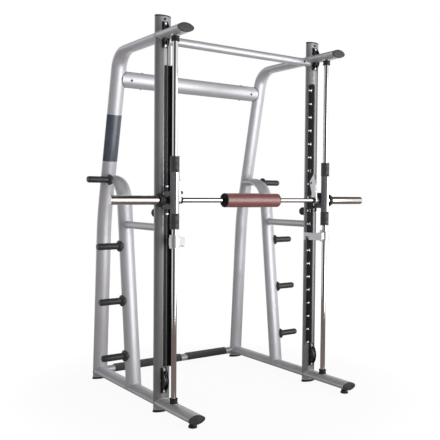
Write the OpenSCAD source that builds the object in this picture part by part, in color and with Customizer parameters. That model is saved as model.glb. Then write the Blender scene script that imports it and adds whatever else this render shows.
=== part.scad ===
// Smith machine: a barbell guided by two upright rods between two tube side frames.
// Millimetres. +Z is up, the front is -Y, and the origin is on the floor under the middle of the box.

/* [Overall] */
// Height of the posts' caps above the floor
machine_h = 2200; // [2150:10:2400]
// Distance between the centres of the two posts
post_span = 1110; // [1000:10:1250]
// Post centre to the front end of the base tubes
front_reach = 375; // [330:5:450]

/* [Frame tubes] */
// Long side of the oval tube, across the machine
tube_w = 100; // [90:1:110]
// Short side of the oval tube
tube_t = 50; // [46:1:56]
// Wall of the oval tube
tube_wall = 3; // [2:0.5:4]
// Height of the base tubes' centre line
base_z = 50; // [44:1:80]
// Roof beams' centre line below the posts' caps
beam_drop = 110; // [100:5:140]
// Post centre to the front end of the roof beam's stub
stub_reach = 245; // [225:5:300]
// Post centre to the rear leg's centre line, on the floor
rear_foot_y = 810; // [780:5:900]
// Forward lean of the rear leg's lower part, in degrees
rear_low_lean = 3.5; // [2:0.5:5]
// Forward lean of the rear leg's upper part, in degrees
rear_high_lean = 12.5; // [10:0.5:13]
// Height of the rear leg's long bend
rear_bend_z = 1065; // [980:5:1150]
// Centre line radius of the rear leg's long bend
rear_long_r = 1500; // [1200:50:1800]
// Centre line radius of the bend from rear leg to roof beam
rear_top_r = 125; // [115:5:125]
// Post centre to the plate leg's centre line, on the floor
plate_foot_y = 325; // [290:5:340]
// Rearward lean of the plate leg, in degrees
plate_lean = 6.4; // [5:0.2:7]
// Height of the plate leg's level top
plate_top_z = 1310; // [1270:5:1320]
// Centre line radius of the plate leg's top bend
plate_r = 150; // [130:5:160]
// Height of the braces between plate leg and post
brace_z = 1030; // [990:5:1050]
// Diameter of the braces
brace_d = 43; // [36:1:48]
// Diameter of the top cross tube
top_cross_d = 48; // [40:1:49]
// Top cross tube's centre line below the roof beams'
top_cross_drop = 22; // [10:2:50]
// Upper rear cross tube's centre line below the roof beams'
rear_cross_drop = 160; // [145:5:190]
// Diameter of the rear base tube
rear_base_d = 48; // [44:1:49]
// Thickness of the rubber treads on the rear base tube
tread_t = 6; // [3:0.5:8]
// Length of the middle rubber tread
mid_tread_len = 124; // [100:2:160]
// Gap between the rubber treads
tread_gap = 53; // [20:1:70]
// Bare rear base tube beside an outer tread
tread_inset = 54; // [20:1:80]
// Wall of the round tubes
round_wall = 3; // [2:0.5:4]

/* [Feet and caps] */
// Thickness of the rubber feet under posts and rear legs
foot_t = 12; // [8:1:16]
// Margin of the rubber feet around the tube
foot_margin = 4; // [2:0.5:6]
// Diameter of the round feet under the front ends
front_foot_d = 48; // [40:1:56]
// Depth of the caps on the tube ends
cap_t = 9; // [6:1:14]
// Length of the plug that holds a cap in its tube
cap_plug = 20; // [12:1:30]
// Diameter of the rubber buffers on the posts' backs
buffer_d = 52; // [40:1:56]
// Length of the rubber buffers
buffer_len = 60; // [45:1:70]
// Height of the rubber buffers
buffer_z = 1112; // [1085:1:1140]

/* [Plate horns] */
// Diameter of the horns that hold spare plates
horn_d = 40; // [36:1:48]
// Length of a horn from its collar to its tip
horn_len = 132; // [110:2:160]
// Diameter of a horn's collar
horn_collar_d = 68; // [60:1:72]
// Thickness of a horn's collar
horn_collar_t = 14; // [10:1:18]
// Height of the lowest horn
horn_low_z = 245; // [230:5:260]
// Height between the straight leg's horns
horn_pitch = 328; // [300:2:335]

/* [Guide rods and racks] */
// Diameter of the guide rods
rod_d = 30; // [28:1:32]
// Rod centre in front of the post centre
rod_ahead = 135; // [130:1:150]
// Diameter of the rods' end collars
rod_collar_d = 46; // [40:1:48]
// Height of the rods' end collars
rod_collar_h = 28; // [20:1:36]
// Diameter of the rack pegs
peg_d = 12; // [10:0.5:12]
// Height between rack pegs
peg_pitch = 85; // [80:1:90]
// Height of the lowest peg
peg_low_z = 269; // [265:1:285]
// Peg centre in front of the post centre
peg_ahead = 46; // [44:1:47]
// Free length of a peg, from the rack
peg_len = 24; // [23:0.5:26]
// Thickness of the rack angle
rack_t = 4; // [3:0.5:5]
// Width of the rack's flange on the post
rack_w = 40; // [38:1:42]
// Depth of the rack's standing leg
rack_depth = 31; // [29:1:32]
// Rack end beyond the lowest peg, and least beyond the highest
rack_end = 14; // [10:1:20]
// Upper end of the racks below the posts' caps
rack_top_drop = 275; // [265:1:340]

/* [Counterbalance] */
// Diameter of the cable
cable_d = 5; // [4:0.5:6]
// Front run of the cable in front of the post centre
cable_ahead = 52; // [50:0.5:53]
// Radius of the cable's centre line on a pulley
pulley_pitch_r = 31; // [29:0.5:32]
// Outer radius of a pulley
pulley_r = 36; // [35:0.5:37]
// Thickness of a pulley
pulley_t = 18; // [14:1:20]
// Height of the lower pulleys
low_pulley_z = 178; // [165:1:180]
// Diameter of the pulley pins
pulley_pin_d = 12; // [10:0.5:14]
// Thickness of a bracket's cheeks
cheek_t = 4; // [3:0.5:5]
// Height of a bracket's face plate
bracket_h = 144; // [120:2:150]
// How far a bracket's cheeks stand out of the post
cheek_out = 36; // [34:1:40]
// Width of a counterweight, inside the post
weight_w = 84; // [70:1:86]
// Depth of a counterweight
weight_t = 34; // [32:1:36]
// Length of a counterweight
weight_len = 430; // [300:10:460]
// Height of a counterweight's lower end at rest
weight_z = 1320; // [1000:10:1400]

/* [Carriages] */
// Outer diameter of a carriage tube
carriage_d = 48; // [46:1:50]
// Wall of a carriage tube
carriage_wall = 3; // [2.5:0.5:4]
// Length of a carriage tube
carriage_len = 375; // [340:5:420]
// Centre of a carriage tube above the bar
carriage_rise = 40; // [30:1:55]
// Length of the linear bushes at both ends of a carriage
bush_len = 75; // [50:1:90]
// Height of the bush flanges outside the carriage tube
bush_flange_h = 10; // [6:1:14]
// Flange of the linear bushes around the carriage tube
bush_flange = 2; // [1:0.5:3]
// Width of a bar block, across the machine
block_w = 44; // [40:1:46]
// Height of a bar block
block_h = 97; // [85:1:110]
// Back of a bar block in front of the post centre
block_back = 40; // [38:0.5:42]
// Outer diameter of the bar bushes
bar_bush_d = 38; // [36:0.5:40]
// Height of the cable clamps over and under a block
clamp_h = 24; // [16:1:30]
// Diameter of the cable clamps
clamp_d = 14; // [12:0.5:16]
// Width of the chrome strip on a carriage tube
strip_w = 16; // [12:1:20]

/* [Bar] */
// Diameter of the bar's shaft
bar_d = 28; // [26:0.5:30]
// Bar axis in front of the post centre
bar_ahead = 92; // [91:0.5:94]
// Diameter of the plate sleeves
sleeve_d = 50; // [48:0.5:51]
// Post centre to the inner end of a plate sleeve
sleeve_start = 80; // [76:1:95]
// Length of a plate sleeve
sleeve_len = 282; // [250:2:300]
// Diameter of the collars at the sleeves' inner ends
sleeve_collar_d = 76; // [70:1:90]
// Thickness of those collars
sleeve_collar_t = 24; // [16:1:28]
// Diameter of the bar pad
pad_d = 80; // [70:1:95]
// Length of the bar pad
pad_len = 400; // [340:10:440]
// Crown of the bar pad at its middle
pad_crown = 2; // [1:0.5:4]
// Rounding of the bar pad's ends
pad_round = 9; // [5:0.5:12]

/* [Hooks] */
// Thickness of a hook's plate
hook_t = 10; // [8:0.5:11]
// Hook plate's outer face, inward of the post centre
hook_in = 45; // [43.5:0.5:46]
// Height of a seated hook's peg above the bar
hook_rise = 104; // [100:1:108]
// Height of the hook's point above the bar
hook_point = 167; // [160:1:172]
// Turn between a seated hook and the stored pose, in degrees
hook_clear = 12; // [11.5:0.5:14]
// Diameter of the hook's hub
hub_d = 44; // [42:1:46]
// Number of pegs under the one that holds the bar
bar_peg_count = 12; // [11:1:13]
// Length of the rings that keep the hooks on the bar
hook_ring_len = 16; // [12:1:22]
// Wall of those rings
hook_ring_wall = 5; // [4:0.5:7]

/* [Safety stops] */
// Height of a stop's sleeve
stop_h = 72; // [66:1:92]
// Diameter of the sleeve's flanges
stop_flange_d = 56; // [52:1:58]
// Diameter of the sleeve's neck
stop_neck_d = 42; // [40:1:44]
// Height of the sleeve's flanges
stop_flange_h = 14; // [10:1:16]
// Diameter of the arm's ring
ring_d = 60; // [58:1:64]
// Height of the arm's plate
arm_h = 46; // [42:1:50]
// Turn between a seated arm and the stored pose, in degrees
arm_clear = 13; // [13:0.5:20]
// Number of pegs under the one that holds a stop
stop_peg_count = 8; // [7:1:8]
// Width of the web between an arm's ring and its plate
arm_web = 30; // [24:1:34]

/* [Fits] */
// Radial clearance of a shaft in its bore
run_gap = 0.05; // [0.02:0.01:0.1]
// Gap between other moving faces
move_gap = 0.6; // [0.3:0.1:1]
// Root gap of the butt welds between a tube's straight and bent sections
weld_gap = 0.05; // [0.02:0.01:0.1]
// Root gap of the welds where a leaning tube is coped to another
cope_gap = 0.2; // [0.1:0.05:0.4]
// Glue line under the label panel
glue_gap = 0.1; // [0.05:0.05:0.2]

/* [Hidden] */
$fn = 64;

post_x = post_span / 2;
rear_reach = rear_foot_y + tube_t / 2 + foot_margin;
post_y = (front_reach - rear_reach) / 2;
beam_z = machine_h - beam_drop;
top_cross_z = beam_z - top_cross_drop;
rear_cross_z = beam_z - rear_cross_drop;
beam_low = beam_z - tube_t / 2;
post_end = machine_h - cap_t;
face = tube_t / 2;

// Points of the bent tubes in the plane of a side frame: distance behind the post, height.
rear_bend_y = rear_foot_y - rear_bend_z * tan(rear_low_lean);
rear_top_y = rear_bend_y - (beam_z - rear_bend_z) * tan(rear_high_lean);
rear_path = [[rear_foot_y, 0], [rear_bend_y, rear_bend_z], [rear_top_y, beam_z], [tube_t / 4, beam_z]];
rear_radii = [0, rear_long_r, rear_top_r, 0];
plate_top_y = plate_foot_y + plate_top_z * tan(plate_lean);
plate_path = [[plate_foot_y, 0], [plate_top_y, plate_top_z], [rear_foot_y, plate_top_z]];
plate_radii = [0, plate_r, 0];

function rear_leg_y(z) =
    z < rear_bend_z ? rear_foot_y - z * tan(rear_low_lean)
                    : rear_bend_y - (z - rear_bend_z) * tan(rear_high_lean);
base_back = rear_leg_y(base_z) - tube_t / 4;
function plate_leg_y(z) = plate_foot_y + z * tan(plate_lean);

bar_y = -bar_ahead;
rod_y = -rod_ahead;
peg_y = -peg_ahead;
cable_y = -cable_ahead;
function peg_z(i) = peg_low_z + i * peg_pitch;
bar_z = peg_z(bar_peg_count) - hook_rise;
stop_z = peg_z(stop_peg_count);
rack_low = peg_low_z - rack_end;
rack_len = machine_h - rack_top_drop - rack_low;
peg_count = floor((rack_len - 2 * rack_end) / peg_pitch + 0.01) + 1;
rack_out = 2;
rack_in = rack_w - rack_out;
peg_collar_t = 4;
peg_collar_wall = 3;
peg_collar_d = peg_d + 2 * peg_collar_wall;

pulley_y = cable_y + pulley_pitch_r;
top_pulley_z = beam_z;
cable_back_y = pulley_y + pulley_pitch_r;
groove_r = cable_d / 2 + move_gap;
pulley_side_gap = 1.5;
cheek_in = pulley_t / 2 + pulley_side_gap;
cheek_end = cheek_in + cheek_t;
slot_gap = 0.4;
slot_half = cheek_end + slot_gap;
slot_room = 8;
slot_h = 2 * (pulley_r + slot_room);

carriage_z = bar_z + carriage_rise;
carriage_bore = carriage_d - 2 * carriage_wall;
bar_half = post_x + sleeve_start + sleeve_len;
end_cap_t = 5;

// Seat of a hook, as distance and angle from upright about the bar's axis.
seat_back = bar_ahead - peg_ahead;
seat_r = norm([seat_back, hook_rise]);
seat_angle = atan2(seat_back, hook_rise) - hook_clear;
seat_gap = peg_d / 2 + move_gap;
barb_gap = 2.5;
barb_back = seat_back - peg_d / 2 - barb_gap;
function polar(r, a) = [r * sin(a), r * cos(a)];

frame_paint = [0.72, 0.73, 0.75];
shade_paint = [0.45, 0.46, 0.48];
black_paint = [0.08, 0.08, 0.09];
chrome = [0.86, 0.86, 0.88];
rubber = [0.07, 0.07, 0.07];
charcoal = [0.22, 0.22, 0.23];
zinc = [0.88, 0.88, 0.9];
over = 1;

// Shared shapes

// Frame of one side: the post at the origin, +X towards the middle of the machine.
module side(s) {
    translate([s * post_x, post_y, 0])
        if (s > 0) mirror([1, 0, 0]) children();
        else children();
}

module both_sides() {
    for (s = [-1, 1]) side(s) children();
}

// Turns a drawing of the side plane (behind, up) upright, so that its thickness runs inwards.
module upright() {
    rotate([90, 0, 90]) children();
}

// Turns +Z to point inwards.
module inwards() {
    rotate([0, 90, 0]) children();
}

function oval_step(w, t) = (w - t) / 4;
function oval_flat_r(w, t) = t / 2 + 4 * oval_step(w, t);

// How far the tube's face falls back at a distance across it.
function face_drop(across) =
    let (r = oval_flat_r(tube_w, tube_t)) r - sqrt(pow(r, 2) - pow(across, 2));

// Oval of two flat arcs and two tight ones, tangent where the corners of a 3-4-5 triangle put them.
module oval(w, t) {
    step = oval_step(w, t);
    flat_r = oval_flat_r(w, t);
    intersection() {
        translate([0, 4 * step]) circle(r = flat_r);
        translate([0, -4 * step]) circle(r = flat_r);
        square([1.2 * flat_r, t], center = true);
    }
    for (e = [-1, 1]) translate([e * 3 * step, 0]) circle(r = t / 2 - step);
}

module tube_section(hollow, margin = 0) {
    difference() {
        oval(tube_w + 5 * margin, tube_t + 2 * margin);
        if (hollow) oval(tube_w - 2 * tube_wall, tube_t - 2 * tube_wall);
    }
}

module pipe(outer, inner, length) {
    difference() {
        cylinder(d = outer, h = length);
        translate([0, 0, -over]) cylinder(d = inner, h = length + 2 * over);
    }
}

function direction(p, q) = (q - p) / norm(q - p);
function turning(path, i) =
    let (a = direction(path[i - 1], path[i]), b = direction(path[i], path[i + 1]))
    atan2(a.x * b.y - a.y * b.x, a * b);
function inner_corner(path, i) = i > 0 && i < len(path) - 1;
function tangent(path, radii, i) =
    inner_corner(path, i) ? radii[i] * tan(abs(turning(path, i)) / 2) : 0;
function trim(path, radii, i) = tangent(path, radii, i) + (inner_corner(path, i) ? weld_gap : 0);

// Oval tube along a path in the side plane: straight sections, and an arc at each inner point.
module bent_tube(path, radii, hollow, margin = 0) {
    for (i = [0 : len(path) - 2]) {
        d = direction(path[i], path[i + 1]);
        start = path[i] + d * trim(path, radii, i);
        end = path[i + 1] - d * trim(path, radii, i + 1);
        translate(start)
            rotate([0, 0, atan2(d.y, d.x)])
            inwards()
            linear_extrude(norm(end - start)) tube_section(hollow, margin);
    }
    for (i = [1 : len(path) - 2]) {
        d = direction(path[i - 1], path[i]);
        turn = turning(path, i);
        start = path[i] - d * tangent(path, radii, i);
        centre = start + sign(turn) * radii[i] * [-d.y, d.x];
        from = atan2(start.y - centre.y, start.x - centre.x);
        translate(centre)
            rotate([0, 0, turn > 0 ? from : from + turn])
            rotate_extrude(angle = abs(turn))
            translate([radii[i], 0]) rotate(90) tube_section(hollow, margin);
    }
}

module post_solid() {
    translate([0, 0, base_z]) linear_extrude(post_end - base_z) tube_section(false);
}

module base_solid(margin = 0) {
    translate([0, rear_foot_y, base_z])
        rotate([90, 0, 0]) linear_extrude(rear_foot_y + front_reach - cap_t) tube_section(false, margin);
}

module beam_solid() {
    translate([0, stub_reach, beam_z])
        rotate([90, 0, 0]) linear_extrude(2 * stub_reach - cap_t) tube_section(false);
}

module rear_leg_solid(margin = 0) {
    upright() bent_tube(rear_path, rear_radii, false, margin);
}

module plate_leg_solid() {
    upright() bent_tube(plate_path, plate_radii, false);
}

module side_legs_solid() {
    both_sides() rear_leg_solid();
}

// Frame

module base_tube() {
    color(frame_paint) {
        difference() {
            translate([0, base_back, base_z])
                rotate([90, 0, 0])
                linear_extrude(base_back + front_reach - cap_t) tube_section(true);
            rear_leg_solid(cope_gap);
        }
        // Short stub of post tube that carries the middle foot
        difference() {
            translate([0, 0, foot_t]) linear_extrude(base_z - tube_t / 4 - foot_t) tube_section(true);
            base_solid();
        }
    }
}

module left_base_tube() { side(-1) base_tube(); }
module right_base_tube() { side(1) base_tube(); }

module pulley_slot(z) {
    translate([-slot_half, -face - over, z - slot_h / 2])
        cube([2 * slot_half, tube_wall + 2 * face_drop(slot_half) + 2 * over, slot_h]);
}

module post() {
    color(shade_paint)
        difference() {
            translate([0, 0, base_z]) linear_extrude(post_end - base_z) tube_section(true);
            base_solid();
            pulley_slot(low_pulley_z);
            pulley_slot(top_pulley_z);
        }
}

module left_post() { side(-1) post(); }
module right_post() { side(1) post(); }

module rear_leg() {
    color(frame_paint)
        difference() {
            upright() bent_tube(rear_path, rear_radii, true);
            post_solid();
            translate([0, 0, foot_t - 2 * tube_w])
                translate([-tube_w, 0, 0]) cube([2 * tube_w, 2 * rear_foot_y, 2 * tube_w]);
        }
}

module left_rear_leg() { side(-1) rear_leg(); }
module right_rear_leg() { side(1) rear_leg(); }

module top_stub() {
    window_half = bracket_w / 2 + move_gap;
    color(frame_paint)
        difference() {
            translate([0, 0, beam_z])
                rotate([90, 0, 0]) linear_extrude(stub_reach - cap_t) tube_section(true);
            post_solid();
            // Window for the upper pulley's bracket
            translate([-window_half, -face - cheek_out - over, beam_low - over])
                cube([2 * window_half, cheek_out + 2 * over + face_drop(window_half), tube_t + 2 * over]);
        }
}

module left_top_stub() { side(-1) top_stub(); }
module right_top_stub() { side(1) top_stub(); }

module plate_leg() {
    color(frame_paint)
        difference() {
            upright() bent_tube(plate_path, plate_radii, true);
            base_solid(cope_gap);
            rear_leg_solid(cope_gap);
            // Below the base tube and behind the rear leg
            translate([-tube_w, 0, -base_z]) cube([2 * tube_w, rear_foot_y, 2 * base_z + tube_t / 4]);
            translate([-tube_w, rear_leg_y(plate_top_z), plate_top_z - tube_w])
                cube([2 * tube_w, rear_foot_y, 2 * tube_w]);
        }
}

module left_plate_leg() { side(-1) plate_leg(); }
module right_plate_leg() { side(1) plate_leg(); }

module braces() {
    color(frame_paint)
        both_sides() difference() {
            translate([0, plate_leg_y(brace_z), brace_z])
                rotate([90, 0, 0]) pipe(brace_d, brace_d - 2 * round_wall, plate_leg_y(brace_z));
            post_solid();
            plate_leg_solid();
        }
}

module top_cross_tube() {
    // Clear of the brackets on the posts' faces
    root = bracket_w / 2 + 2 * move_gap;
    color(frame_paint)
        difference() {
            translate([root - post_x, post_y, top_cross_z])
                inwards() pipe(top_cross_d, top_cross_d - 2 * round_wall, post_span - 2 * root);
            both_sides() post_solid();
            both_sides() beam_solid();
        }
}

rear_cross_y = rear_leg_y(rear_cross_z);
cross_root = 20;
rear_cross_len = post_span - 2 * cross_root;

module upper_rear_cross_tube() {
    color(frame_paint)
        difference() {
            translate([-rear_cross_len / 2, post_y + rear_cross_y, rear_cross_z])
                rotate([rear_high_lean, 0, 0])
                inwards() linear_extrude(rear_cross_len) tube_section(true);
            side_legs_solid();
        }
}

rear_base_y = rear_leg_y(base_z);

module rear_base_tube() {
    color(frame_paint)
        difference() {
            translate([-post_x, post_y + rear_base_y, base_z])
                inwards() pipe(rear_base_d, rear_base_d - 2 * round_wall, post_span);
            side_legs_solid();
            both_sides() base_solid();
        }
}

// Ends of the treads across the machine: the middle one and the two outer ones
tread_mid = mid_tread_len / 2;
tread_start = tread_mid + tread_gap;
tread_end = post_x - tube_w / 2 - tread_inset;
tread_spans = [[-tread_end, -tread_start], [-tread_mid, tread_mid], [tread_start, tread_end]];

module rear_treads() {
    color(charcoal)
        for (span = tread_spans)
            difference() {
                translate([span.x, post_y + rear_base_y, base_z])
                    inwards() pipe(rear_base_d + 2 * tread_t, rear_base_d, span.y - span.x);
                // Open underside
                translate([-post_x, post_y + rear_base_y - rear_base_d, -rear_base_d / 3])
                    cube([post_span, 2 * rear_base_d, base_z]);
            }
}

module end_cap() {
    linear_extrude(cap_t) tube_section(false);
    translate([0, 0, -cap_plug])
        linear_extrude(cap_plug) oval(tube_w - 2 * tube_wall, tube_t - 2 * tube_wall);
}

module tube_end_caps() {
    color([0.3, 0.3, 0.31])
        both_sides() {
            translate([0, -front_reach + cap_t, base_z]) rotate([90, 0, 0]) end_cap();
            translate([0, -stub_reach + cap_t, beam_z]) rotate([90, 0, 0]) end_cap();
            translate([0, 0, post_end]) end_cap();
        }
}

front_foot_inset = 45;
front_foot_y = -front_reach + front_foot_inset;

module oval_foot() {
    linear_extrude(foot_t) oval(tube_w + 2 * foot_margin, tube_t + 2 * foot_margin);
}

module rubber_feet() {
    color(rubber)
        both_sides() {
            oval_foot();
            translate([0, rear_foot_y, 0]) oval_foot();
            difference() {
                translate([0, front_foot_y, 0]) cylinder(d = front_foot_d, h = base_z);
                base_solid();
            }
        }
}

buffer_end = face + buffer_len;
buffer_taper = 8;
buffer_nose = 5;

module post_buffers() {
    color(rubber)
        both_sides() difference() {
            translate([0, 0, buffer_z]) rotate([-90, 0, 0]) {
                cylinder(d = buffer_d, h = buffer_end - buffer_taper);
                translate([0, 0, buffer_end - buffer_taper])
                    cylinder(d1 = buffer_d, d2 = buffer_d - 2 * buffer_nose, h = buffer_taper);
            }
            post_solid();
        }
}

// Ends of the label, as shares of the leg between the plate leg and the upper rear cross tube
label_from = 0.187;
label_to = 0.65;
label_low_z = plate_top_z + label_from * (rear_cross_z - plate_top_z);
label_high_z = plate_top_z + label_to * (rear_cross_z - plate_top_z);
label_t = 1;

// Bare panel round the front of the left rear leg
module label_panel() {
    low = [rear_leg_y(label_low_z), label_low_z];
    high = [rear_leg_y(label_high_z), label_high_z];
    d = direction(low, high);
    color([0.12, 0.17, 0.28])
        side(-1) upright()
            translate(low) rotate([0, 0, atan2(d.y, d.x)]) inwards()
            linear_extrude(norm(high - low))
            difference() {
                oval(tube_w + 2 * label_t, tube_t + 2 * label_t);
                oval(tube_w + 2 * glue_gap, tube_t + 2 * glue_gap);
                translate([-tube_w, -tube_t]) square([2 * tube_w, tube_t]);
            }
}

bolt_d = 14;
bolt_h = 6;
bolt_inset = 60;
post_bolt_drop = 15;

module cross_tube_bolts() {
    color(black_paint)
        both_sides() {
            // On the top cross tube
            translate([face + bolt_inset, -top_cross_d / 2, top_cross_z])
                rotate([90, 0, 0]) cylinder(d = bolt_d, h = bolt_h);
            // On the upper rear cross tube, square to its leaning front face
            translate([face + bolt_inset, rear_cross_y, rear_cross_z])
                rotate([rear_high_lean + 90, 0, 0])
                translate([0, 0, face]) cylinder(d = bolt_d, h = bolt_h);
            // Under the post's cap
            translate([0, -face, post_end - post_bolt_drop])
                rotate([90, 0, 0]) cylinder(d = bolt_d, h = bolt_h);
        }
}

// Plate horns

horn_root = -tube_w / 2;
horn_top_turn = 16;
plate_bend_y = plate_top_y + tangent(plate_path, plate_radii, 1);
horn_top_y = plate_bend_y - plate_r * sin(horn_top_turn);
horn_top_z = plate_top_z - plate_r * (1 - cos(horn_top_turn));
horn_places = [
    for (i = [0 : 2]) [plate_leg_y(horn_low_z + i * horn_pitch), horn_low_z + i * horn_pitch],
    [horn_top_y, horn_top_z]
];
horn_tip_t = 8;
horn_chamfer = 3;
// Depth to which a collar wraps the tube's round edge
collar_root = 15;

// Puts a shape that points along +Z on each horn's place, pointing outwards.
module at_horns() {
    for (p = horn_places) translate([horn_root, p.x, p.y]) rotate([0, -90, 0]) children();
}

module plate_horns() {
    color(charcoal)
        at_horns() translate([0, 0, horn_collar_t]) {
            cylinder(d = horn_d, h = horn_len - horn_tip_t);
            translate([0, 0, horn_len - horn_tip_t])
                cylinder(d1 = horn_d, d2 = horn_d - 2 * horn_chamfer, h = horn_tip_t);
        }
}

module left_plate_horns() { side(-1) plate_horns(); }
module right_plate_horns() { side(1) plate_horns(); }

module horn_collars() {
    color(charcoal)
        both_sides() difference() {
            at_horns() translate([0, 0, -collar_root])
                cylinder(d = horn_collar_d, h = collar_root + horn_collar_t);
            plate_leg_solid();
        }
}

// Guide rods and racks

module guide_rod() {
    color(chrome)
        difference() {
            translate([0, rod_y, base_z]) cylinder(d = rod_d, h = beam_z - base_z);
            base_solid();
            beam_solid();
        }
}

module left_guide_rod() { side(-1) guide_rod(); }
module right_guide_rod() { side(1) guide_rod(); }

module rod_collars() {
    color(black_paint)
        both_sides() difference() {
            union() {
                translate([0, rod_y, base_z]) pipe(rod_collar_d, rod_d, face + rod_collar_h);
                translate([0, rod_y, beam_low - rod_collar_h])
                    pipe(rod_collar_d, rod_d, face + rod_collar_h);
            }
            base_solid();
            beam_solid();
        }
}

// Angle with one flange on the post's face and one leg from the post forward, drilled for the pegs
module rack() {
    color(black_paint)
        difference() {
            translate([0, 0, rack_low]) {
                translate([rack_in - rack_w, -face - rack_t, 0]) cube([rack_w, rack_t, rack_len]);
                translate([rack_in - rack_t, -face - rack_t - rack_depth, 0])
                    cube([rack_t, rack_depth + rack_t + face_drop(rack_in) + over, rack_len]);
            }
            post_solid();
            for (i = [0 : peg_count - 1])
                translate([rack_in - rack_t - over, peg_y, peg_z(i)])
                    inwards() cylinder(d = peg_d, h = rack_t + 2 * over);
        }
}

module left_rack() { side(-1) rack(); }
module right_rack() { side(1) rack(); }

module rack_pegs() {
    color(chrome)
        for (i = [0 : peg_count - 1])
            translate([rack_in, peg_y, peg_z(i)]) inwards() {
                translate([0, 0, -rack_t]) cylinder(d = peg_d, h = rack_t + peg_len);
                cylinder(d = peg_collar_d, h = peg_collar_t);
            }
}

module left_rack_pegs() { side(-1) rack_pegs(); }
module right_rack_pegs() { side(1) rack_pegs(); }

// Counterbalance

bracket_lip = 4;
bracket_w = 2 * (cheek_end + bracket_lip);
pin_margin = 4;
cheek_back = pulley_y + pulley_pin_d / 2 + pin_margin;

// Lens-shaped side of a pulley bracket, in the side plane
module cheek_outline() {
    lens_r = (pow(bracket_h / 2, 2) + pow(cheek_out, 2)) / (2 * cheek_out);
    intersection() {
        translate([-face - cheek_out + lens_r, 0]) circle(r = lens_r);
        translate([-face - cheek_out, -bracket_h / 2]) square([cheek_out, bracket_h]);
    }
    translate([-face, -slot_h / 2 + over]) square([cheek_back + face, slot_h - 2 * over]);
}

module pulley_bracket(z) {
    translate([0, 0, z]) difference() {
        union() {
            for (s = [-1, 1])
                translate([s * (cheek_in + cheek_t / 2) - cheek_t / 2, 0, 0])
                    upright() linear_extrude(cheek_t) cheek_outline();
            // Face plate, dished to the post and open between the cheeks for the pulley
            difference() {
                translate([-bracket_w / 2, -face - rack_t, -bracket_h / 2])
                    cube([bracket_w, rack_t + face_drop(bracket_w / 2) + over, bracket_h]);
                translate([-cheek_in, -face - rack_t - over, -slot_h / 2])
                    cube([2 * cheek_in, face, slot_h]);
                translate([0, 0, -z]) post_solid();
            }
        }
        translate([-bracket_w, pulley_y, 0]) inwards() cylinder(d = pulley_pin_d, h = 2 * bracket_w);
        // Ways for the cable through the face plate
        translate([0, cable_y, -bracket_h]) cylinder(r = groove_r, h = 2 * bracket_h);
    }
}

module pulley_brackets() {
    color(black_paint)
        both_sides() {
            pulley_bracket(low_pulley_z);
            pulley_bracket(top_pulley_z);
        }
}

module pulley_pins() {
    color(chrome)
        both_sides()
            for (z = [low_pulley_z, top_pulley_z])
                translate([-cheek_end, pulley_y, z])
                    inwards() cylinder(d = pulley_pin_d, h = 2 * cheek_end);
}

module pulley(z) {
    color(charcoal)
        translate([0, pulley_y, z]) inwards()
            rotate_extrude() difference() {
                translate([pulley_pin_d / 2 + run_gap, -pulley_t / 2])
                    square([pulley_r - pulley_pin_d / 2 - run_gap, pulley_t]);
                translate([pulley_pitch_r, 0]) circle(r = groove_r);
                translate([pulley_pitch_r, -groove_r]) square([pulley_r, 2 * groove_r]);
            }
}

module left_top_pulley() { side(-1) pulley(top_pulley_z); }
module left_low_pulley() { side(-1) pulley(low_pulley_z); }
module right_top_pulley() { side(1) pulley(top_pulley_z); }
module right_low_pulley() { side(1) pulley(low_pulley_z); }

module cable_half_turn(z, from) {
    translate([pulley_y, z]) rotate([0, 0, from])
        rotate_extrude(angle = 180) translate([pulley_pitch_r, 0]) circle(d = cable_d);
}

// Closed loop of cable over both pulleys, one run in front of the post and one inside it
module cable() {
    color([0.25, 0.25, 0.26]) {
        for (y = [cable_y, cable_back_y])
            translate([0, y, low_pulley_z]) cylinder(d = cable_d, h = top_pulley_z - low_pulley_z);
        upright() {
            cable_half_turn(top_pulley_z, 0);
            cable_half_turn(low_pulley_z, 180);
        }
    }
}

module left_cable() { side(-1) cable(); }
module right_cable() { side(1) cable(); }

module counterweight() {
    color(shade_paint)
        translate([0, 0, weight_z]) difference() {
            linear_extrude(weight_len) oval(weight_w, weight_t);
            translate([0, cable_back_y, -over]) cylinder(r = groove_r, h = weight_len + 2 * over);
        }
}

module left_counterweight() { side(-1) counterweight(); }
module right_counterweight() { side(1) counterweight(); }

// Carriages

strip_t = 2;

module carriage_tube() {
    color(shade_paint)
        translate([0, rod_y, carriage_z - carriage_len / 2]) {
            pipe(carriage_d, carriage_bore, carriage_len);
            // Strip along the tube's front
            difference() {
                translate([-strip_w / 2, -carriage_d / 2 - strip_t, bush_len])
                    cube([strip_w, carriage_d / 2, carriage_len - 2 * bush_len]);
                cylinder(d = carriage_d - over, h = carriage_len);
            }
        }
}

module left_carriage_tube() { side(-1) carriage_tube(); }
module right_carriage_tube() { side(1) carriage_tube(); }

module linear_bush() {
    difference() {
        union() {
            cylinder(d = carriage_bore, h = bush_len);
            translate([0, 0, -bush_flange_h]) cylinder(d = carriage_d + 2 * bush_flange, h = bush_flange_h);
        }
        translate([0, 0, -bush_flange_h - over])
            cylinder(r = rod_d / 2 + run_gap, h = bush_len + bush_flange_h + 2 * over);
    }
}

module linear_bushes() {
    color(black_paint)
        both_sides() for (e = [-1, 1])
            translate([0, rod_y, carriage_z + e * carriage_len / 2])
                rotate([e > 0 ? 180 : 0, 0, 0]) linear_bush();
}

module bar_block() {
    color(black_paint)
        difference() {
            translate([-block_w / 2, rod_y, bar_z - block_h / 2])
                cube([block_w, rod_ahead - block_back, block_h]);
            translate([0, rod_y, bar_z - block_h]) cylinder(d = carriage_d, h = 2 * block_h);
            translate([-block_w, bar_y, bar_z]) inwards() cylinder(d = bar_bush_d, h = 2 * block_w);
            translate([0, cable_y, bar_z - block_h]) cylinder(r = groove_r, h = 2 * block_h);
        }
}

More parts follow.
